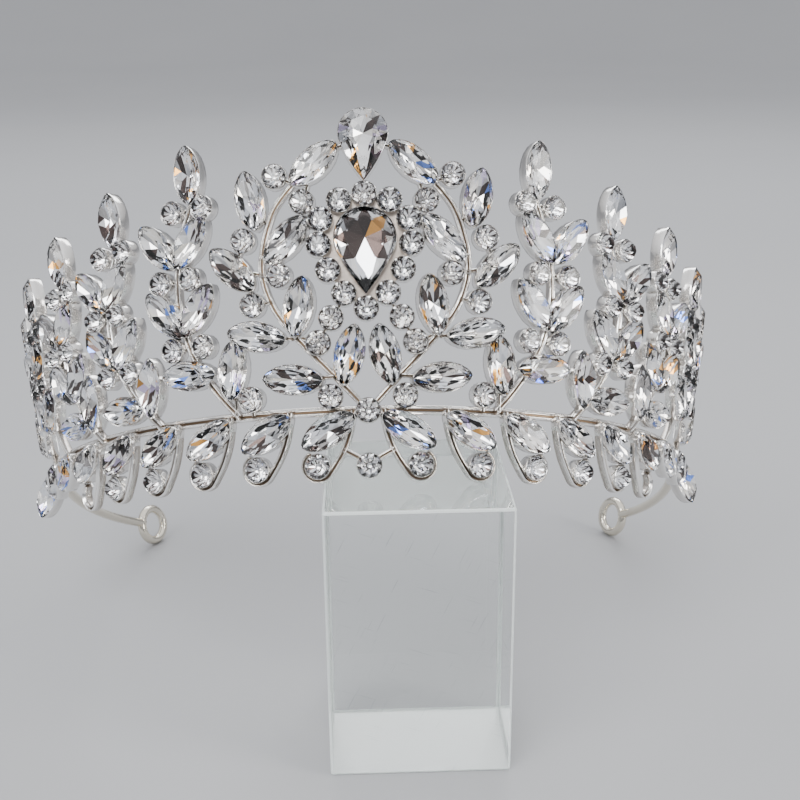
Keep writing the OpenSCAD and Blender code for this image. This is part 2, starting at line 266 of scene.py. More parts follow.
def end_spot(s):
    """The leaf at the rail's end hangs from its tip and is twisted towards the front."""
    hang = turned(-s * END_LEAF_TWIST, "Y") @ turned(-s * END_LEAF_HANG)
    reach = Matrix.Translation((0, LEAF[0] / 2 - END_LEAF_IN_RAIL, 0))
    return plate_at(s * END_LEAF_ACROSS) @ hang @ reach


leaf_spots["band_leaf_stones"] = [
    mirrored(s, band_plate(k), *BAND_LEAF) for s in both for k in range(BAND_COUNT)
] + [end_spot(s) for s in both]
round_spots["band_round_stones"] = [
    mirrored(s, band_plate(k), 0, -SCROLL_DROP) for s in both for k in range(SCROLL_COUNT - 1)
] + [mirrored(s, END_ROUND_ACROSS, 0, END_ROUND_UP) for s in both] + [
    mirrored(1, 0, 0, up) for up in (0, CENTRE_ROUND_UP)
]
print(len(leaf_spots["band_leaf_stones"]), "leaves in the band")

# %% Spots of the heart's round and pear stones
pear_spots = {
    "top_pear_stone": [mirrored(1, 0, 0, TOP_PEAR_UP)],
    "heart_pear_stone": [mirrored(1, 0, 0, HEART_PEAR_UP)],
}
round_spots["heart_round_stones"] = [
    mirrored(s, HEART_PLATES[p], x, up) for s in both for p, x, up in HEART_ROUNDS
]
round_spots["halo_stones"] = [mirrored(s, 0, x, up) for s in both for x, up in HALO_ROUNDS] + [
    mirrored(1, 0, 0, up) for up in HALO_MIDDLE
]
for kind, groups in (("leaf", leaf_spots), ("round", round_spots), ("pear", pear_spots)):
    print(sum(map(len, groups.values())), kind, "stones in all")

# %% [markdown]
# Finishes come next. Silver plate on a casting is a mirror with faint ripples, and it stays
# darker and browner in the grooves that polishing can't reach. The same darkening also stands in
# for shade: it is painted deep in the grooves, at the foot of the wires, inside the cups and on
# the halo's plate, where little light falls. Those places could be painted in an image, but an
# attribute is sharper and needs no unwrapping: the pieces carry one named attribute for tarnish
# and painted shade, 0 on the ridges and 1 deep in a groove. The silver and the duller wire of the
# end loops share the effect, so it is a node group with its own inputs.

# %% Small helpers for nodes
def new_node(tree, kind, inputs=None, **settings):
    """Adds a node, sets its plain settings, then fills or links its inputs."""
    node = tree.nodes.new(kind)
    for name, value in settings.items():
        setattr(node, name, value)
    for name, value in (inputs or {}).items():
        fill(tree, node.inputs[name], value)
    return node


def fill(tree, socket, value):
    """Links a socket to another one, or gives it a plain value."""
    if isinstance(value, bpy.types.NodeSocket):
        tree.links.new(value, socket)
    else:
        socket.default_value = value


def new_group(name, kind, inputs, outputs):
    """A node group with named sockets, and the sockets that bring its inputs."""
    tree = bpy.data.node_groups.new(name, kind)
    for way, sockets in (("INPUT", inputs), ("OUTPUT", outputs)):
        for label, data in sockets.items():
            tree.interface.new_socket(label, in_out=way, socket_type="NodeSocket" + data)
    return tree, new_node(tree, "NodeGroupInput").outputs


def finish_named(name):
    """A new material with its node tree and its Principled shader."""
    material = bpy.data.materials.new(name)
    material.use_nodes = True
    return material, material.node_tree, material.node_tree.nodes["Principled BSDF"]


def blended(tree, amount, first, second):
    """Mixes two colours by an amount; its colour sockets are found by their number."""
    mix = new_node(tree, "ShaderNodeMix", data_type="RGBA")
    for number, value in ((0, amount), (6, first), (7, second)):
        fill(tree, mix.inputs[number], value)
    return mix.outputs[2]


print("nodes can be added, linked and grouped")


# %% The effect that both metals share
def cast_metal_effect():
    """Polished metal with faint ripples, dull in places; its recesses take tarnish and painted
    shade.
    """
    tree, given = new_group(
        "cast metal", "ShaderNodeTree",
        {"Polished": "Color", "Tarnish and shade": "Color", "Ripple": "Float"},
        {"Color": "Color", "Roughness": "Float", "Normal": "Vector"})
    where = new_node(tree, "ShaderNodeTexCoord").outputs["Object"]
    tarnish_and_shade = new_node(tree, "ShaderNodeAttribute", attribute_name="tarnish_and_shade").outputs["Fac"]
    cloud = new_node(tree, "ShaderNodeTexNoise", {"Vector": where, "Scale": 140, "Detail": 3})
    grain = new_node(tree, "ShaderNodeTexNoise", {"Vector": where, "Scale": 900, "Detail": 2})
    dull = new_node(tree, "ShaderNodeMapRange", {
        "Value": cloud.outputs["Fac"], "From Min": 0.55, "From Max": 0.85, "To Max": 0.2})
    wear_and_shade = new_node(
        tree, "ShaderNodeMath", {0: dull.outputs["Result"], 1: tarnish_and_shade}, operation="MAXIMUM")
    rough = new_node(tree, "ShaderNodeMapRange", {
        "Value": wear_and_shade.outputs[0], "To Min": 0.12, "To Max": 0.36})
    bump = new_node(tree, "ShaderNodeBump", {
        "Height": grain.outputs["Fac"], "Strength": given["Ripple"], "Distance": 0.0002})
    new_node(tree, "NodeGroupOutput", {
        "Color": blended(tree, wear_and_shade.outputs[0], given["Polished"], given["Tarnish and shade"]),
        "Roughness": rough.outputs["Result"], "Normal": bump.outputs[0]})
    return tree


cast_metal = cast_metal_effect()
print("effect ready:", cast_metal.name)


# %% Silver plate and the dull wire
def metal_finish(name, polished, tarnish_and_shade_colour, ripple):
    """A metal that places the shared effect with its own colours."""
    material, tree, shader = finish_named(name)
    effect = new_node(tree, "ShaderNodeGroup", {
        "Polished": (*polished, 1), "Tarnish and shade": (*tarnish_and_shade_colour, 1), "Ripple": ripple},
        node_tree=cast_metal)
    for source, target in (
            ("Color", "Base Color"), ("Roughness", "Roughness"), ("Normal", "Normal")):
        tree.links.new(effect.outputs[source], shader.inputs[target])
    shader.inputs["Metallic"].default_value = 1.0
    return material


# The silver's brown colour is tarnish and also painted shade in grooves, cups and the halo's plate
silver_plate = metal_finish(
    "silver plate", polished=(0.98, 0.97, 0.95), tarnish_and_shade_colour=(0.2, 0.14, 0.09), ripple=0.2)
dull_wire = metal_finish(
    "dull plated wire", polished=(0.82, 0.77, 0.66), tarnish_and_shade_colour=(0.35, 0.28, 0.2), ripple=0.5)
print("metals:", silver_plate.name, "and", dull_wire.name)

# %% [markdown]
# A rhinestone is clear glass above and foil behind. Light goes in through the top, is thrown
# about by the foiled facets and comes out split into colours. A renderer could follow all of
# that, but very slowly, and where a colour flashes is a matter of luck. So the glass is left to
# the renderer, and each foil facet draws a random number named "glint". A stepped ramp turns it
# into a painted reflection of silver, grey and nearly black, and into the rare painted flashes
# of orange, blue and violet light, in place of the light that the foil throws back. All the
# glass shares one more effect, a slight drift of its tint and polish, which is a group as well.

# %% Foil
GLINTS = [
    # from, colour of the facet as a painted reflection and painted flash
    (0.00, (1.0, 1.0, 1.0)), (0.42, (0.86, 0.88, 0.92)), (0.62, (0.99, 0.96, 0.92)),
    (0.75, (0.42, 0.4, 0.39)), (0.79, (0.07, 0.05, 0.045)), (0.89, (0.99, 0.96, 0.88)),
    (0.93, (1.0, 0.5, 0.12)), (0.955, (0.2, 0.36, 1.0)), (0.975, (0.8, 0.7, 1.0)),
]


def foil_finish():
    """A mirror whose colour steps with each facet's glint, painting its reflections and flashes."""
    material, tree, shader = finish_named("foil")
    glint = new_node(tree, "ShaderNodeAttribute", attribute_name="glint")
    ramp = new_node(tree, "ShaderNodeValToRGB", {"Fac": glint.outputs["Fac"]})
    ramp.color_ramp.interpolation = "CONSTANT"
    steps = ramp.color_ramp.elements
    steps[0].color = (*GLINTS[0][1], 1)
    steps.remove(steps[1])
    for place, colour in GLINTS[1:]:
        steps.new(place).color = (*colour, 1)
    tree.links.new(ramp.outputs["Color"], shader.inputs["Base Color"])
    shader.inputs["Metallic"].default_value = 1.0
    shader.inputs["Roughness"].default_value = 0.04
    return material


foil = foil_finish()
print(len(GLINTS), "kinds of glint")


# %% The drift of tint and polish that every glass shares
def drift_effect():
    """A tint and a roughness that wander between two values from place to place."""
    tree, given = new_group(
        "drift", "ShaderNodeTree",
        {"First": "Color", "Second": "Color", "Scale": "Float", "Smoothest": "Float",
         "Roughest": "Float"},
        {"Color": "Color", "Roughness": "Float"})
    where = new_node(tree, "ShaderNodeTexCoord").outputs["Object"]
    cloud = new_node(tree, "ShaderNodeTexNoise", {
        "Vector": where, "Scale": given["Scale"], "Detail": 2})
    polish = new_node(tree, "ShaderNodeMapRange", {
        "Value": cloud.outputs["Fac"], "From Min": 0.45, "From Max": 0.8,
        "To Min": given["Smoothest"], "To Max": given["Roughest"]})
    new_node(tree, "NodeGroupOutput", {
        "Color": blended(tree, cloud.outputs["Fac"], given["First"], given["Second"]),
        "Roughness": polish.outputs["Result"]})
    return tree


drift = drift_effect()
print("effect ready:", drift.name)


# %% Clear glass
def drifting(tree, tints, scale, rough=(0, 0)):
    """The drift in a material, with that material's own values."""
    return new_node(tree, "ShaderNodeGroup", {
        "First": (*tints[0], 1), "Second": (*tints[1], 1), "Scale": scale,
        "Smoothest": rough[0], "Roughest": rough[1]}, node_tree=drift)


def glass_finish(name, tints, scale, ior, rough, clear=1.0):
    """Glass whose tint and polish drift a little."""
    material, tree, shader = finish_named(name)
    effect = drifting(tree, tints, scale, rough)
    tree.links.new(effect.outputs["Color"], shader.inputs["Base Color"])
    tree.links.new(effect.outputs["Roughness"], shader.inputs["Roughness"])
    shader.inputs["Transmission Weight"].default_value = clear
    shader.inputs["IOR"].default_value = ior
    return material


crystal = glass_finish(
    "cut crystal", tints=((0.97, 0.98, 1.0), (1.0, 0.985, 0.96)), scale=160, ior=1.56,
    rough=(0, 0.02))
print("glass for the stones:", crystal.name)

# %% [markdown]
# Three shapes of stone are used: round, leaf and pear. They share one cut: a table, eight star
# facets, eight kites and sixteen small facets down to the girdle, and under it a pavilion that
# runs to a point. A ready-made gem could be stretched to each shape, but its facets would be
# stretched too. Here one function lays the same facets round any outline, so only the outline
# differs.

# %% Outlines of the stones
LEAF_BLUNTNESS = 1.3
PEAR_SHOULDER = math.radians(-28)
PEAR_BULGE = 0.35


def round_outline(size, turn):
    """A point of a circle."""
    return Vector((math.cos(turn), math.sin(turn))) * size / 2


def leaf_outline(size, turn):
    """A point of an ellipse that is drawn in towards blunt tips above and below."""
    long, wide = size[0] / 2, size[1] / 2
    across = wide * abs(math.cos(turn))**LEAF_BLUNTNESS
    return Vector((math.copysign(across, math.cos(turn)), long * math.sin(turn)))


def pear_outline(size, turn):
    """A round end up and a point below, joined by nearly straight sides."""
    length, wide = size[0], size[1] / 2
    tip = wide - length
    way = Vector((math.cos(turn), math.sin(turn)))
    if way.y >= math.sin(PEAR_SHOULDER):
        return way * wide
    shoulder = Vector((math.cos(PEAR_SHOULDER), math.sin(PEAR_SHOULDER))) * wide
    x = abs(way.x)
    share = x * -tip / (x * (shoulder.y - tip) - shoulder.x * way.y)
    point = Vector((0, tip)).lerp(shoulder, share)
    point.x += PEAR_BULGE * math.sin(math.pi * share)
    return Vector((math.copysign(point.x, way.x) if x > 1e-6 else 0, point.y))


print("a leaf is", leaf_outline(LEAF, 0).x * 2, "mm wide")

# %% Corners of the cut that all the stones share
STONE_BASE, GIRDLE, STONE_TOP = 2.1, 0.25, 3.95
STAR_INSET, STAR_RISE = 0.45, 0.52
KEEL_DROP = 1.1


def mesh_of(name, corners, faces):
    """A mesh from corners in millimetres."""
    mesh = bpy.data.meshes.new(name)
    mesh.from_pydata([Vector(c) * MM for c in corners], [], faces)
    return mesh


def stone_corners(outline, size, deep, table, keel_share):
    """Rings of 16 or 8 corners: girdle below and above, stars, table, keels; then the point."""
    ring = [math.radians(22.5 * k) for k in range(16)]
    crown = STONE_TOP - STONE_BASE - GIRDLE

    def level(turns, share, rise):
        return [(*(outline(size, t) * share), rise) for t in turns]

    return (
        level(ring, 1, STONE_BASE) + level(ring, 1, STONE_BASE + GIRDLE)
        + level(ring[1::2], 1 - STAR_INSET * (1 - table), STONE_BASE + GIRDLE + crown * STAR_RISE)
        + level(ring[::2], table, STONE_TOP)
        + level(ring[1::2], keel_share, STONE_BASE - deep * (KEEL_DROP - keel_share))
        + [(0, 0, STONE_BASE - deep)])


print("a stone stands", round(STONE_TOP - STONE_BASE, 2), "mm above its girdle's lower edge")

# %% Facets between those corners
# The first corner of each ring
LOW, HIGH, STAR, TOP, KEEL, POINT = 0, 16, 32, 40, 48, 56


def stone_faces():
    """The table, and nine facets for each eighth of a turn; the last three are foiled."""
    faces = [[TOP + k for k in range(8)]]
    for k in range(8):
        a, b, c = 2 * k, 2 * k + 1, (2 * k + 2) % 16
        after, before = (k + 1) % 8, (k - 1) % 8
        faces += [
            [TOP + k, STAR + k, TOP + after],
            [TOP + k, STAR + before, HIGH + a, STAR + k],
            [STAR + k, HIGH + a, HIGH + b],
            [STAR + k, HIGH + b, HIGH + c],
            [LOW + a, LOW + b, HIGH + b, HIGH + a],
            [LOW + b, LOW + c, HIGH + c, HIGH + b],
            [KEEL + k, LOW + b, LOW + a],
            [KEEL + k, LOW + c, LOW + b],
            [KEEL + k, LOW + a, KEEL + before, POINT],
        ]
    return faces


print(len(stone_faces()), "facets on each stone")

# %% Cutting a stone
# Each kind of facet draws its glint from a number upwards, over a spread; the glint is its painted
# reflection
ANY, BRIGHT, DARK = (0.0, 1.0), (0.0, 0.6), (0.79, 0.1)
ORANGE, GREY = (0.94, 0.0), (0.5, 0.0)


def cut_stone(name, outline, size, deep, table=0.6, keel_share=0.42,
              mains=(ANY,) * 8, halves=(ANY, ANY)):
    """A faceted stone; its girdle starts at STONE_BASE and its pavilion goes deep below it."""
    faces = stone_faces()
    mesh = mesh_of(name, stone_corners(outline, size, deep, table, keel_share), faces)
    foiled = mesh.attributes.new("foiled", "BOOLEAN", "FACE")
    foiled.data.foreach_set("value", [all(i < HIGH or i >= KEEL for i in f) for f in faces])
    kinds = [ANY] + [kind for k in range(8) for kind in [ANY] * 6 + [*halves, mains[k]]]
    for n, label in enumerate(("glint from", "glint spread")):
        chance = mesh.attributes.new(label, "FLOAT", "FACE")
        chance.data.foreach_set("value", [kind[n] for kind in kinds])
    return mesh


print("stones can be cut")

# %% The four stones, inside the rims of their cups
RIM = 0.2


def inside_rim(size):
    """A length and a width, less the rim on both sides."""
    return [v - 2 * RIM for v in size]


leaf_cut = cut_stone("leaf cut", leaf_outline, inside_rim(LEAF), deep=1.5, table=0.66)
# The round stones' foil is painted as a star of dark and pale reflections; the heart pear's mains
# are given their painted reflections one by one
round_cut = cut_stone(
    "round cut", round_outline, ROUND - 2 * RIM, deep=1.6, table=0.56, keel_share=0.2,
    mains=[BRIGHT] * 8, halves=(DARK, BRIGHT))
pear_cuts = {
    "top_pear_stone": cut_stone("top pear cut", pear_outline, inside_rim(TOP_PEAR), deep=1.9),
    "heart_pear_stone": cut_stone(
        "heart pear cut", pear_outline, inside_rim(HEART_PEAR), deep=0.95, table=0.66,
        keel_share=0.58, mains=[DARK, ORANGE, DARK, DARK, DARK, DARK, GREY, DARK],
        halves=(BRIGHT, BRIGHT)),
}
print("cut:", leaf_cut.name, round_cut.name, *(cut.name for cut in pear_cuts.values()))

# %% [markdown]
# On the real crown every stone of a size is the same, and a worker sets them one by one. Copies
# could be made in a loop, but a Geometry Nodes tree suits what repeats: it puts a stone at each
# spot, turned as the spot says, and serves every group. It also draws the random glint of each
# facet, from a fixed seed. Instances are made real at the end, because an export drops them.

# %% Helpers for Geometry Nodes
def new_tree(name, inputs):
    """A tree with a mesh going in and out, and named inputs for the rest."""
    mesh = {"Geometry": "Geometry"}
    return new_group(name, "GeometryNodeTree", {**mesh, **inputs}, mesh)


def live(sockets, name):
    """The socket of a name that fits the node's own kind of data."""
    return next(s for s in sockets if s.name == name and s.enabled)


def attribute(tree, name, kind):
    """Reads a named attribute inside a tree."""
    node = new_node(tree, "GeometryNodeInputNamedAttribute", {"Name": name}, data_type=kind)
    return live(node.outputs, "Attribute")


def shown(name, data):
    """An object in the scene that shows a mesh, a lamp or a camera."""
    item = bpy.data.objects.new(name, data)
    bpy.context.scene.collection.objects.link(item)
    return item


def grown(host_mesh, tree, values):
    """Runs a tree on a mesh and returns the result as a plain mesh; nothing else stays."""
    host = shown("host", host_mesh)
    modifier = host.modifiers.new("grow", "NODES")
    modifier.node_group = tree
    sockets = {s.name: s.identifier for s in tree.interface.items_tree if s.in_out == "INPUT"}
    for name, value in values.items():
        modifier[sockets[name]] = value
    graph = bpy.context.evaluated_depsgraph_get()
    mesh = bpy.data.meshes.new_from_object(
        host.evaluated_get(graph), preserve_all_data_layers=True, depsgraph=graph)
    bpy.data.objects.remove(host)
    return mesh


print("trees can be built and run")


# %% The tree that sets pieces at spots
def random_glint(tree, solid, seed):
    """Stores a number for each face, drawn between the limits that the face carries."""
    draw = new_node(tree, "FunctionNodeRandomValue", {"Seed": seed}, data_type="FLOAT")
    number = new_node(tree, "ShaderNodeMath", {
        0: live(draw.outputs, "Value"), 1: attribute(tree, "glint spread", "FLOAT"),
        2: attribute(tree, "glint from", "FLOAT")}, operation="MULTIPLY_ADD")
    glint = new_node(tree, "GeometryNodeStoreNamedAttribute", {
        "Geometry": solid, "Name": "glint"}, data_type="FLOAT", domain="FACE")
    tree.links.new(number.outputs[0], live(glint.inputs, "Value"))
    return glint.outputs[0]


def setting_tree():
    """Puts a piece at every point, and gives its foiled faces a finish of their own."""
    tree, given = new_tree("set at spots", {
        "Piece": "Object", "Seed": "Int", "Finish": "Material", "Back": "Material"})
    piece = new_node(tree, "GeometryNodeObjectInfo", {"Object": given["Piece"]})
    spread = new_node(tree, "GeometryNodeInstanceOnPoints", {
        "Points": given["Geometry"], "Instance": piece.outputs["Geometry"],
        "Rotation": attribute(tree, "facing", "FLOAT_VECTOR")})
    solid = new_node(tree, "GeometryNodeRealizeInstances", {"Geometry": spread.outputs[0]})
    front = new_node(tree, "GeometryNodeSetMaterial", {
        "Geometry": random_glint(tree, solid.outputs[0], given["Seed"]),
        "Material": given["Finish"]})
    back = new_node(tree, "GeometryNodeSetMaterial", {
        "Geometry": front.outputs[0], "Material": given["Back"],
        "Selection": attribute(tree, "foiled", "BOOLEAN")})
    new_node(tree, "NodeGroupOutput", {0: back.outputs[0]})
    return tree


set_at_spots = setting_tree()
print("tree ready:", set_at_spots.name)


# %% Running that tree
def spots_mesh(spots):
    """The spots as loose points that carry their turn."""
    mesh = bpy.data.meshes.new("spots")
    mesh.from_pydata([TO_METRES @ m.to_translation() for m in spots], [], [])
    facing = mesh.attributes.new("facing", "FLOAT_VECTOR", "POINT")
    facing.data.foreach_set("vector", [v for m in spots for v in m.to_euler()])
    return mesh


def placed(piece_mesh, spots, finish, back, seed=0):
    """A copy of a piece at each spot, as one mesh."""
    master = shown("master", piece_mesh)
    mesh = grown(spots_mesh(spots), set_at_spots, {
        "Piece": master, "Seed": seed, "Finish": finish, "Back": back})
    bpy.data.objects.remove(master)
    return mesh


print("pieces can be set at spots")

# %% [markdown]
# The metal of the real crown is one casting, and a group of stones is one solid of the model. The
# meshes could be joined by Blender's own operator, but that needs selected objects. One helper
# that copies corners, faces, finishes, the attribute of tarnish and painted shade and the painted
# glints is easier to follow.

# %% Putting meshes together
def put_together(name, parts):
    """One mesh from several, with their finishes and attributes."""
    corners, faces, tarnish_and_shade, glint, slots, finishes = [], [], [], [], [], []
    for mesh in parts:
        first = len(corners)
        corners += [v.co.copy() for v in mesh.vertices]
        faces += [[first + i for i in p.vertices] for p in mesh.polygons]
        for label, kept, count in (
                ("tarnish_and_shade", tarnish_and_shade, len(mesh.vertices)), ("glint", glint, len(mesh.polygons))):
            found = mesh.attributes.get(label)
            kept += [d.value for d in found.data] if found else [0.0] * count
        for material in mesh.materials:
            if material not in finishes:
                finishes.append(material)
        slots += [finishes.index(mesh.materials[p.material_index]) for p in mesh.polygons]
    joined = bpy.data.meshes.new(name)
    joined.from_pydata(corners, [], faces)
    for material in finishes:
        joined.materials.append(material)
    joined.polygons.foreach_set("material_index", slots)
    joined.attributes.new("tarnish_and_shade", "FLOAT", "POINT").data.foreach_set("value", tarnish_and_shade)
    joined.attributes.new("glint", "FLOAT", "FACE").data.foreach_set("value", glint)
    return joined


def stands_for(piece, node):
    """Puts a finished piece in the place of its solid."""
    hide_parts(node)
    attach(piece, "root")


print("meshes can be joined")

# %% The stones in place of their solids
SEED_STEP = 10

stone_nodes = sorted(set(leaf_spots) | set(round_spots) | set(pear_spots))
for seed, node in enumerate(stone_nodes):
    groups = [(leaf_cut, leaf_spots.get(node)), (round_cut, round_spots.get(node)),
              (pear_cuts.get(node), pear_spots.get(node))]
    parts = [placed(cut, spots, crystal, foil, SEED_STEP * seed + n)
             for n, (cut, spots) in enumerate(groups) if spots]
    stones = shown(node.replace("stone", "crystal"), put_together(node, parts))
    stands_for(stones, node)
print(len(stone_nodes), "pieces of cut crystal")

# %% [markdown]
# Each real cup is a wall round its stone, with a rolled rim that leans over the girdle, and the
# casting is hollowed a little behind it. It could be extruded and bevelled, but a profile gives
# every bend its own place. So the cup is rings of one outline, and each step of the profile says
# how far the ring is drawn in, how high it lies and how much tarnish and painted shade it takes.
# The inner wall under the stone is painted fully dark and brown, as the shade and warm reflection
# round the stone, and the hollow back is painted partly dark as shade.

# %% Cups
CUP_STEPS = [
    # inset, rise, tarnish and painted shade
    (0.8, -0.2, 0.4), (0.62, -0.6, 0.1), (0.12, -0.6, 0.0), (0.0, -0.45, 0.15), (0.0, 1.0, 0.25),
    (0.0, 1.9, 0.1), (0.03, 2.25, 0.0), (0.09, 2.38, 0.0), (0.15, 2.34, 0.1), (0.18, 2.12, 1.0),
    (0.25, 1.5, 1.0), (0.7, 0.1, 1.0),
]
SMALL_CUP_CORNERS, PEAR_CUP_CORNERS = 20, 32


def mark_tarnish_and_shade(mesh, values):
    """Writes how much tarnish and painted shade each corner takes."""
    mesh.attributes.new("tarnish_and_shade", "FLOAT", "POINT").data.foreach_set("value", values)


def cup(name, outline, size, count):
    """Rings of corners from the hollow back, round the rim and down to the seat."""
    corners, marks, faces = [], [], []
    for inset, rise, tarnish_and_shade in CUP_STEPS:
        inner = size - 2 * inset if isinstance(size, float) else [v - 2 * inset for v in size]
        corners += [(*outline(inner, math.tau * k / count), rise) for k in range(count)]
        marks += [tarnish_and_shade] * count
    for step in range(len(CUP_STEPS) - 1):
        a, b = step * count, (step + 1) * count
        faces += [[a + k, a + (k + 1) % count, b + (k + 1) % count, b + k] for k in range(count)]
    faces += [list(range(count))[::-1], [len(corners) - count + k for k in range(count)]]
    mesh = mesh_of(name, corners, faces)
    mark_tarnish_and_shade(mesh, marks)
    return mesh


leaf_cup = cup("leaf cup", leaf_outline, LEAF, SMALL_CUP_CORNERS)
round_cup = cup("round cup", round_outline, ROUND, SMALL_CUP_CORNERS)
top_pear_cup = cup("pear cup", pear_outline, TOP_PEAR, PEAR_CUP_CORNERS)
heart_pear_cup = cup("pear cup", pear_outline, HEART_PEAR, PEAR_CUP_CORNERS)
print(len(leaf_cup.polygons), "faces on a small cup")


# %% The cups under their stones
def all_of(spots):
    """Every spot of every group."""
    return [m for group in spots.values() for m in group]


metal = [
    placed(shape, spots, silver_plate, silver_plate)
    for shape, spots in (
        (leaf_cup, all_of(leaf_spots)), (round_cup, all_of(round_spots)),
        (top_pear_cup, pear_spots["top_pear_stone"]),
        (heart_pear_cup, pear_spots["heart_pear_stone"]))
]
print(sum(len(mesh.polygons) for mesh in metal), "faces of cups")

# %% [markdown]
# The wires look like two thin rods laid side by side, with a dark groove between them. The groove
# is darkened as tarnish and painted shade, and the foot of each side as painted shade. A curve
# with a bevel could make them, but it can't carry that darkening along. So a second Geometry
# Nodes tree sweeps a small section along every path. The section is drawn once, a unit wide and
# deep, and the tree scales it to each wire.

# %% The sections of the wires
GROOVED = [
    # beside, rise, tarnish and painted shade
    (-0.5, 0.15, 0.7), (-0.5, 0.7, 0.4), (-0.44, 0.92, 0), (-0.31, 1, 0), (-0.17, 0.9, 0.1),
    (-0.07, 0.55, 1), (0.07, 0.55, 1), (0.17, 0.9, 0.1), (0.31, 1, 0), (0.44, 0.92, 0),
    (0.5, 0.7, 0.4), (0.5, 0.15, 0.7), (0.4, 0, 0.2), (-0.4, 0, 0.2),
]
ROD_CORNERS = 10
ROUND_SECTION = [
    (0.5 * math.cos(math.tau * k / ROD_CORNERS), -0.5 * math.sin(math.tau * k / ROD_CORNERS), 0)
    for k in range(ROD_CORNERS)
]


def section(name, rows):
    """A closed loop of edges with its tarnish and painted shade; the sweep takes minus Y as
    outwards.
    """
    mesh = bpy.data.meshes.new(name)
    around = [(k, (k + 1) % len(rows)) for k in range(len(rows))]
    mesh.from_pydata([(x, -y, 0) for x, y, _ in rows], around, [])
    mark_tarnish_and_shade(mesh, [tarnish_and_shade for _, _, tarnish_and_shade in rows])
    return shown(name, mesh)


grooved = section("grooved section", GROOVED)
rod = section("round section", ROUND_SECTION)
print(len(GROOVED), "corners round a grooved wire,", len(ROUND_SECTION), "round a plain one")


# %% The trees that sweep them
def sweeping_tree(name, mode):
    """Sweeps the section of an object along the edges of a mesh."""
    tree, given = new_tree(name, {
        "Section": "Object", "Width": "Float", "Depth": "Float", "Finish": "Material"})
    path = new_node(tree, "GeometryNodeMeshToCurve", {"Mesh": given["Geometry"]})
    steady = new_node(tree, "GeometryNodeSetCurveNormal", {"Curve": path.outputs[0]}, mode=mode)
    drawn = new_node(tree, "GeometryNodeObjectInfo", {"Object": given["Section"]})
    size = new_node(tree, "ShaderNodeCombineXYZ", {
        "X": given["Width"], "Y": given["Depth"], "Z": 1})
    sized = new_node(tree, "GeometryNodeTransform", {
        "Geometry": drawn.outputs["Geometry"], "Scale": size.outputs[0]})
    loop = new_node(tree, "GeometryNodeMeshToCurve", {"Mesh": sized.outputs[0]})
    tube = new_node(tree, "GeometryNodeCurveToMesh", {
        "Curve": steady.outputs[0], "Profile Curve": loop.outputs[0], "Fill Caps": True})
    solid = new_node(tree, "GeometryNodeRealizeInstances", {"Geometry": tube.outputs[0]})
    done = new_node(tree, "GeometryNodeSetMaterial", {
        "Geometry": solid.outputs[0], "Material": given["Finish"]})
    new_node(tree, "NodeGroupOutput", {0: done.outputs[0]})
    return tree


flat_sweep = sweeping_tree("sweep a flat wire", "Z_UP")
free_sweep = sweeping_tree("sweep a round wire", "MINIMUM_TWIST")
print("trees ready:", flat_sweep.name, "and", free_sweep.name)


# %% Paths and wires
def smooth(path, steps):
    """A rounded path through the points."""
    found = []
    for i in range(len(path) - 1):
        a, b, c, d = (Vector(path[min(max(i + j, 0), len(path) - 1)]) for j in (-1, 0, 1, 2))
        for k in range(steps):
            t = k / steps
            found.append(0.5 * (2 * b + (c - a) * t + (2 * a - 5 * b + 4 * c - d) * t**2
                                + (3 * b - a - 3 * c + d) * t**3))
    return found + [Vector(path[-1])]


def side_points(s, points):
    """The points of a path, mirrored to a side."""
    return [(s * x, y) for x, y in points]


def swept(tree, drawn, path, width, depth, finish, closed=False):
    """A section swept along a path of points, as one mesh."""
    points = [Vector(p).to_3d() for p in path]
    edges = [(k, k + 1) for k in range(len(points) - 1)]
    if closed:
        edges.append((len(points) - 1, 0))
    host = bpy.data.meshes.new("path")
    host.from_pydata(points, edges, [])
    return grown(host, tree, {"Section": drawn, "Width": width, "Depth": depth, "Finish": finish})


def flat_wire(path, wire, back, plate=None):
    """A grooved wire on a plate, or bent along the wall where no plate is given."""
    width, depth = wire
    mesh = swept(flat_sweep, grooved, path, width, depth, silver_plate)
    for v in mesh.vertices:
        x, y, z = v.co
        v.co = TO_METRES @ plate @ Vector((x, y, z + back)) if plate else wall_point(x, y, z + back)
    metal.append(mesh)


print("paths can be rounded, mirrored and swept")

# %% The rail, the heart and the stems
# Each wire is a width and a depth
RAIL_WIRE, HEART_WIRE, STEM_WIRE = (2.1, 1.5), (1.45, 1.5), (1.6, 1.9)
WIRE_BACK = -0.7
RAIL_STEPS, HEART_STEPS, STEM_STEPS = 60, 10, 20
HEART_PATH = [
    (0.5, 0.5), (6.6, 7.2), (14.8, 16.5), (19.4, 24), (20.8, 32.5), (18, 43), (13.4, 49.2),
]

rail = [(ARC_END * k / RAIL_STEPS, 0) for k in range(-RAIL_STEPS, RAIL_STEPS + 1)]
flat_wire(rail, RAIL_WIRE, WIRE_BACK)
for s in both:
    flat_wire(side_points(s, smooth(HEART_PATH, HEART_STEPS)), HEART_WIRE, WIRE_BACK)
    for i in range(len(SPRIGS)):
        heights = [stem_top(i) * k / STEM_STEPS for k in range(STEM_STEPS + 1)]
        stem = side_points(s, [(stem_beside(i, up), up) for up in heights])
        flat_wire(stem, STEM_WIRE, PLATE_BACK, plate_at(s * sprig_plate(i)))
print(len(metal), "meshes of metal so far")

# %% [markdown]
# Under the rail hang the scrolls: each is a wire that runs down, hooks under its round stone and
# ends beside it. Two short prongs hold the last stone under the front. Short bars tie the heart's
# cups to their neighbours, and the halo of round cups stands on a thin plate. All could be cut
# from one flat outline, as in the solid model, but then they would have no groove. So the wires
# are swept like the rail, and only the plate is a flat outline.

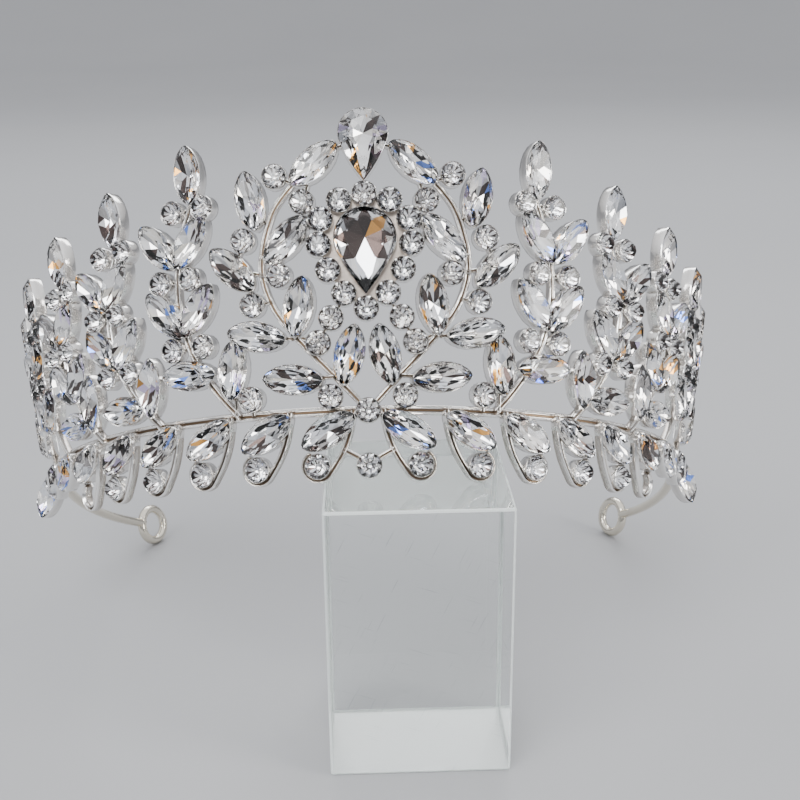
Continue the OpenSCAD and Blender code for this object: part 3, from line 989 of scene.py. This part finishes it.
# %% Scrolls
SCROLL_WIRE, PRONG_WIRE = (1.35, 2.2), (1.3, 1.9)
SCROLL_ARM = [(-8, 0), (-7.1, -4.6), (-5.3, -9)]
HOOK_RADIUS, SCROLL_STEPS = 3.0, 4
CENTRE_PRONG = [(1.4, -10.4), (5.4, -8.2)]

hook = [(HOOK_RADIUS * math.cos(a), HOOK_RADIUS * math.sin(a) - SCROLL_DROP)
        for a in (math.radians(degrees) for degrees in range(-150, 61, 30))]
scroll = smooth(SCROLL_ARM + hook, SCROLL_STEPS)
for s in both:
    for k in range(SCROLL_COUNT):
        flat_wire(side_points(s, scroll), SCROLL_WIRE, PLATE_BACK, plate_at(s * band_plate(k)))
    flat_wire(side_points(s, CENTRE_PRONG), PRONG_WIRE, PLATE_BACK, plate_at(0))
print(len(scroll), "points on a scroll")

# %% Bars in the heart and arms in the sprigs
BAR_WIRE, ARM_WIRE = (0.9, 1.9), (1.2, 1.9)
ARM_LENGTH, NECK_IN_CUP = 3.4, 0.5
HEART_BARS = [
    # plate, beside, up, to beside, to up
    (1, -0.1, 44.8, -3, 52.8), (1, -6, 55.4, -9.1, 56.4), (1, 5.6, 50.6, 1.5, 49),
    (2, -4.2, 29.4, -0.5, 30), (2, 6, 31.6, -0.5, 30), (2, 3.3, 37.6, 6, 31.6),
    (2, 1.1, 46, -1.8, 41), (2, 2.1, 23.6, -1.6, 24), (2, 3.6, 3.6, 3.6, 0),
    (2, 7.3, 10.2, 7.3, 0), (2, 1.5, 16.8, -6, 15.8), (2, -5.9, 7, -14.6, 7),
    (2, -6.3, 36.8, -0.5, 33.4), (0, 7.5, 19.6, 4.2, 24.4), (0, 7.5, 19.6, 10.3, 14.4),
    (0, 10.3, 14.4, 13.8, 15.6), (0, 7.9, 3, 7.9, 0), (0, 3.8, 11.8, 6.6, 7.2),
]
# A bar from the halo up into the cup of the top stone
NECK = [(0, HALO_MIDDLE[0]), (0, TOP_PEAR_UP - TOP_PEAR[1] / 2 + NECK_IN_CUP)]

for s in both:
    for p, x, up, to_x, to_up in HEART_BARS:
        bar = side_points(s, [(x, up), (to_x, to_up)])
        flat_wire(bar, BAR_WIRE, PLATE_BACK, plate_at(s * HEART_PLATES[p]))
    for i in range(len(SPRIGS)):
        for x, up, side_of_stem in sprig_rounds(i):
            arm = side_points(s, [(x, up), (x - side_of_stem * ARM_LENGTH, up)])
            flat_wire(arm, ARM_WIRE, PLATE_BACK, plate_at(s * sprig_plate(i)))
flat_wire(NECK, BAR_WIRE, PLATE_BACK, plate_at(0))
print(2 * len(HEART_BARS), "bars in the heart")

# %% The plate behind the halo
HALO_PLATE_FRONT = 0.3
# The plate's back and front are darkened as painted shade, the front more
HALO_BACK_PAINTED_SHADE, HALO_FRONT_PAINTED_SHADE = 0.35, 0.75


def halo_plate():
    """A thin plate with a corner behind each round stone of the halo."""
    ring = [(0, HALO_MIDDLE[0])] + HALO_ROUNDS + [(0, HALO_MIDDLE[1])]
    ring += [(-x, y) for x, y in reversed(HALO_ROUNDS)]
    count = len(ring)
    corners = [(x, y, z) for z in (PLATE_BACK, HALO_PLATE_FRONT) for x, y in ring]
    faces = [list(range(count)), [count + k for k in range(count)][::-1]]
    faces += [[k, count + k, count + (k + 1) % count, (k + 1) % count] for k in range(count)]
    mesh = mesh_of("halo plate", corners, faces)
    mark_tarnish_and_shade(mesh, [HALO_BACK_PAINTED_SHADE] * count + [HALO_FRONT_PAINTED_SHADE] * count)
    mesh.materials.append(silver_plate)
    return mesh


behind_halo = halo_plate()
behind_halo.transform(TO_METRES @ plate_at(0) @ TO_METRES.inverted())
metal.append(behind_halo)
print(len(metal), "meshes of metal with the halo's plate")

# %% [markdown]
# At each end of the rail a round wire runs back and down to a loop, for a ribbon or a comb, and
# the loops touch the table. On the real crown they are bent by hand, so the two sides differ a
# little. A torus and a cylinder could stand in for each, but the wire curves as it falls. So
# both are paths, with a small table of bends, swept by the same kind of tree as the flat wires.

# %% Paths of the end wires and their loops
LOOP_RADIUS, LOOP_WIRE, LOOP_ABOVE_TABLE = 6.2, 2.6, 0.05
LOOP_BENDS = {
    # degrees round the head, how far outside the rail
    "left": (121.6, -3.6), "right": (117.6, 2.8),
}
WIRE_LEAVES_RAIL, WIRE_ENDS_BEFORE = math.radians(77.9), 0.05
WIRE_STEPS, LOOP_STEPS = 12, 28


def loop_height(turn, out):
    """The height of a loop's middle, against the rail, that sets the loop on the table."""
    reach = LOOP_RADIUS * math.sqrt(math.cos(TILT)**2 + (math.sin(turn) * math.sin(TILT))**2)
    below = ring_centre().z + out * math.cos(turn) * math.sin(TILT)
    return (reach + LOOP_ABOVE_TABLE - below) / math.cos(TILT)


def round_head(s, angle, radius, height):
    """A point at an angle round the head, in metres."""
    point = Vector((s * radius * math.sin(angle), -radius * math.cos(angle), height))
    return TO_METRES @ RESTED @ point


def end_wire(s, turn, out, low):
    """The path from the rail to a loop, which levels out as it falls."""
    path = []
    for k in range(WIRE_STEPS + 1):
        t = k / WIRE_STEPS
        angle = WIRE_LEAVES_RAIL + (turn - WIRE_ENDS_BEFORE - WIRE_LEAVES_RAIL) * t
        radius = RAIL_RADIUS + (out - RAIL_RADIUS) * t
        path.append(round_head(s, angle, radius, low * (1 - (1 - t)**2)))
    return path


def end_loop(s, turn, out, low):
    """The path round a loop, along the middle of its wire."""
    middle = LOOP_RADIUS - LOOP_WIRE / 2
    angles = [math.tau * k / LOOP_STEPS for k in range(LOOP_STEPS)]
    return [round_head(s, turn + middle * math.cos(a) / out, out, low + middle * math.sin(a))
            for a in angles]


print("a loop is", 2 * LOOP_RADIUS, "mm across")

# %% The end wires and their loops
thick = LOOP_WIRE * MM
for side, s in SIDES.items():
    turn, out = math.radians(LOOP_BENDS[side][0]), RAIL_RADIUS + LOOP_BENDS[side][1]
    low = loop_height(turn, out)
    for path, closed in (
            (end_wire(s, turn, out, low), False), (end_loop(s, turn, out, low), True)):
        metal.append(swept(free_sweep, rod, path, thick, thick, dull_wire, closed))
    print("the", side, "loop's middle lies", round(-low, 1), "mm below the rail's plane")

# %% The casting in place of its solid
SHARP_FROM = math.radians(48)

casting = put_together("crown metal", metal)
casting.shade_smooth()
casting.set_sharp_from_angle(angle=SHARP_FROM)
stands_for(shown("crown_metal", casting), "crown_frame")
for helper in (grooved, rod):
    bpy.data.objects.remove(helper)
print(len(casting.polygons), "faces of metal")

# %% [markdown]
# The block is clear glass with polished faces, a few fine scratches and narrow ground edges,
# which catch the light as pale lines. A plain box would have no edges to catch it, so a bevel
# gives them a width of their own and a second finish, which the underside has too. The scratches
# could be an image, but noise that is stretched long in one direction draws them by itself.

# %% Finishes of the block
SCRATCH_LEANS = (20, -65)
SCRATCH_SIZE = (9, 0.25, 0.25)
SCRATCH_TINT = (0.62, 0.66, 0.68, 1)


def scratch(material):
    """Adds fine straight scratches that cross on the front and the back, and specks elsewhere."""
    tree = material.node_tree
    where = new_node(tree, "ShaderNodeTexCoord").outputs["Object"]
    target = tree.nodes["Principled BSDF"].inputs["Base Color"]
    tint = target.links[0].from_socket
    for lean in SCRATCH_LEANS:
        along = new_node(tree, "ShaderNodeMapping", {
            "Vector": where, "Rotation": (0, math.radians(lean), 0),
            "Scale": [v * MM for v in SCRATCH_SIZE]}, vector_type="TEXTURE")
        streaks = new_node(tree, "ShaderNodeTexNoise", {
            "Vector": along.outputs[0], "Scale": 1, "Detail": 0})
        marks = new_node(tree, "ShaderNodeMapRange", {
            "Value": streaks.outputs["Fac"], "From Min": 0.75, "From Max": 0.83})
        tint = blended(tree, marks.outputs["Result"], tint, SCRATCH_TINT)
    tree.links.new(tint, target)


block_glass = glass_finish(
    "block glass", tints=((0.95, 0.98, 0.97), (0.97, 0.985, 0.98)), scale=40, ior=1.49,
    rough=(0, 0.03))
scratch(block_glass)
block_edge = glass_finish(
    "ground glass edge", tints=((0.88, 0.95, 0.93), (0.93, 0.98, 0.97)), scale=900, ior=1.49,
    rough=(0.35, 0.55), clear=0.35)
print("block finishes:", block_glass.name, "and", block_edge.name)

# %% The glass block
EDGE_WIDTH = 0.55


def block_mesh():
    """The block's eight corners and six faces, the underside first."""
    x, y, z = BLOCK[0] / 2, BLOCK[1] / 2, BLOCK[2]
    corners = [(i, j, k) for k in (0, z) for j in (-y, y) for i in (-x, x)]
    faces = [[0, 2, 3, 1], [4, 5, 7, 6], [0, 1, 5, 4], [2, 6, 7, 3], [0, 4, 6, 2], [1, 3, 7, 5]]
    return mesh_of("block", corners, faces)


block = shown("display_block", block_mesh())
block.data.materials.append(block_glass)
block.data.materials.append(block_edge)
# The underside and the bevel take the second finish
block.data.polygons[0].material_index = 1
edge = block.modifiers.new("ground edges", "BEVEL")
edge.width, edge.segments, edge.material = EDGE_WIDTH * MM, 2, 1
graph = bpy.context.evaluated_depsgraph_get()
block_done = bpy.data.meshes.new_from_object(block.evaluated_get(graph), depsgraph=graph)
block.modifiers.clear()
block.data = block_done
stands_for(block, "glass_block")
print(len(block.data.polygons), "faces of glass block")

# %% [markdown]
# The crown is seen on a wide pale floor. A flat floor would end in a line behind it, so this one
# curves up far off. Polished metal and foil show whatever is round them: in a white room they
# look flat, and in a dark one black. So the room grows brighter towards its ceiling, which
# shades them softly, and three large lamps add the sparkle.

# %% Floor
# In metres
FLOOR_FLAT, FLOOR_BEND, FLOOR_BELOW = 2.4, 1.6, 0.0001
FLOOR_COUNT = 48


def floor_mesh():
    """A round floor that curves up into a low wall far off, so no edge shows."""
    arc = [math.radians(a) for a in range(0, 76, 5)]
    profile = [(FLOOR_FLAT + FLOOR_BEND * math.sin(a), FLOOR_BEND - FLOOR_BEND * math.cos(a))
               for a in arc]
    around = [math.tau * k / FLOOR_COUNT for k in range(FLOOR_COUNT)]
    corners = [(r * math.cos(t), r * math.sin(t), z - FLOOR_BELOW)
               for r, z in profile for t in around]
    faces = [list(range(FLOOR_COUNT))]
    for row in range(len(profile) - 1):
        a, b = row * FLOOR_COUNT, (row + 1) * FLOOR_COUNT
        for k in range(FLOOR_COUNT):
            after = (k + 1) % FLOOR_COUNT
            faces.append([a + k, b + k, b + after, a + after])
    mesh = bpy.data.meshes.new("floor")
    mesh.from_pydata(corners, [], faces)
    return mesh


def paper_finish():
    """Pale paper whose tone drifts a little."""
    material, tree, shader = finish_named("pale paper")
    tone = drifting(tree, tints=((0.36, 0.365, 0.38), (0.4, 0.405, 0.415)), scale=3)
    tree.links.new(tone.outputs["Color"], shader.inputs["Base Color"])
    shader.inputs["Roughness"].default_value = 0.6
    return material


floor = shown("floor", floor_mesh())
floor.data.shade_smooth()
floor.data.materials.append(paper_finish())
floor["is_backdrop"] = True
print("floor", 2 * (FLOOR_FLAT + FLOOR_BEND), "m across at most")

# %% Lamps
LAMPS_AIM_AT = Vector((-0.01, 0.03, 0.07))


def soft_light(name, place, size, power, colour=(1, 1, 1)):
    """A large lamp that faces the crown."""
    lamp = bpy.data.lights.new(name, "AREA")
    lamp.shape, lamp.size, lamp.size_y = "RECTANGLE", *size
    lamp.energy, lamp.color = power, colour
    item = shown(name, lamp)
    item.location = place
    aim = LAMPS_AIM_AT - Vector(place)
    item.rotation_euler = aim.to_track_quat("-Z", "Y").to_euler()
    return item


lamps = [
    soft_light("key", place=(-0.35, -0.6, 0.8), size=(0.8, 0.5), power=9),
    soft_light("fill", place=(0.8, -0.35, 0.4), size=(0.3, 0.6), power=5,
               colour=(1.0, 0.97, 0.93)),
    soft_light("back", place=(0.1, 1.0, 0.9), size=(1.0, 0.4), power=7,
               colour=(0.96, 0.98, 1.0)),
]
print(len(lamps), "lamps")

# %% The room
ROOM_LOW = (0.05, (0.3, 0.3, 0.305, 1))
ROOM_HIGH = (0.8, (1.3, 1.31, 1.35, 1))

room = bpy.data.worlds.new("room")
bpy.context.scene.world = room
room.use_nodes = True
sky = room.node_tree
direction = new_node(sky, "ShaderNodeTexCoord").outputs["Generated"]
height = new_node(sky, "ShaderNodeSeparateXYZ", {0: direction})
fade = new_node(sky, "ShaderNodeValToRGB", {"Fac": height.outputs["Z"]})
for step, (place, colour) in zip(fade.color_ramp.elements, (ROOM_LOW, ROOM_HIGH)):
    step.position, step.color = place, colour
sky.links.new(fade.outputs["Color"], sky.nodes["Background"].inputs["Color"])
print("the room is", ROOM_LOW[1][0], "bright below and", ROOM_HIGH[1][0], "above")

# %% [markdown]
# The camera stands a hand's breadth above the crown and a quarter of a metre in front of it, and
# looks down by some twenty degrees. It could be aimed at the crown by a constraint, but the real
# one was held a little askew. So its three angles are written down, and its matrix is built
# from the directions that it looks, leans and stands in.

# %% Camera
EYE = Vector((-10.6, -234.0, 164.4)) * MM
YAW, PITCH, ROLL = math.radians(1.82), math.radians(19.61), math.radians(-0.57)
SENSOR = 36
FOCAL_PIXELS, PICTURE_PIXELS = 1156, 800

ahead = Vector((
    math.sin(YAW) * math.cos(PITCH), math.cos(YAW) * math.cos(PITCH), -math.sin(PITCH)))
level_right = Vector((math.cos(YAW), -math.sin(YAW), 0))
level_up = level_right.cross(ahead)
right = level_right * math.cos(ROLL) + level_up * math.sin(ROLL)
up = level_up * math.cos(ROLL) - level_right * math.sin(ROLL)
camera = shown("camera", bpy.data.cameras.new("camera"))
camera.matrix_world = Matrix((
    (right.x, up.x, -ahead.x, EYE.x), (right.y, up.y, -ahead.y, EYE.y),
    (right.z, up.z, -ahead.z, EYE.z), (0, 0, 0, 1)))
camera.data.sensor_width = SENSOR
camera.data.lens = SENSOR * FOCAL_PIXELS / PICTURE_PIXELS
camera.data.clip_start, camera.data.clip_end = 0.01, 20
bpy.context.scene.camera = camera
print("lens", round(camera.data.lens, 1), "mm")

# %% [markdown]
# Last, the box round everything that is seen, but the floor, is printed in millimetres. The
# wires and cups here are a little fuller than their solids.

# %% The box round what is seen, and the end
seen_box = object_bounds()
for label, corner in zip(("from", "to"), seen_box):
    print("seen", label, [round(v / MM, 1) for v in corner], "mm")
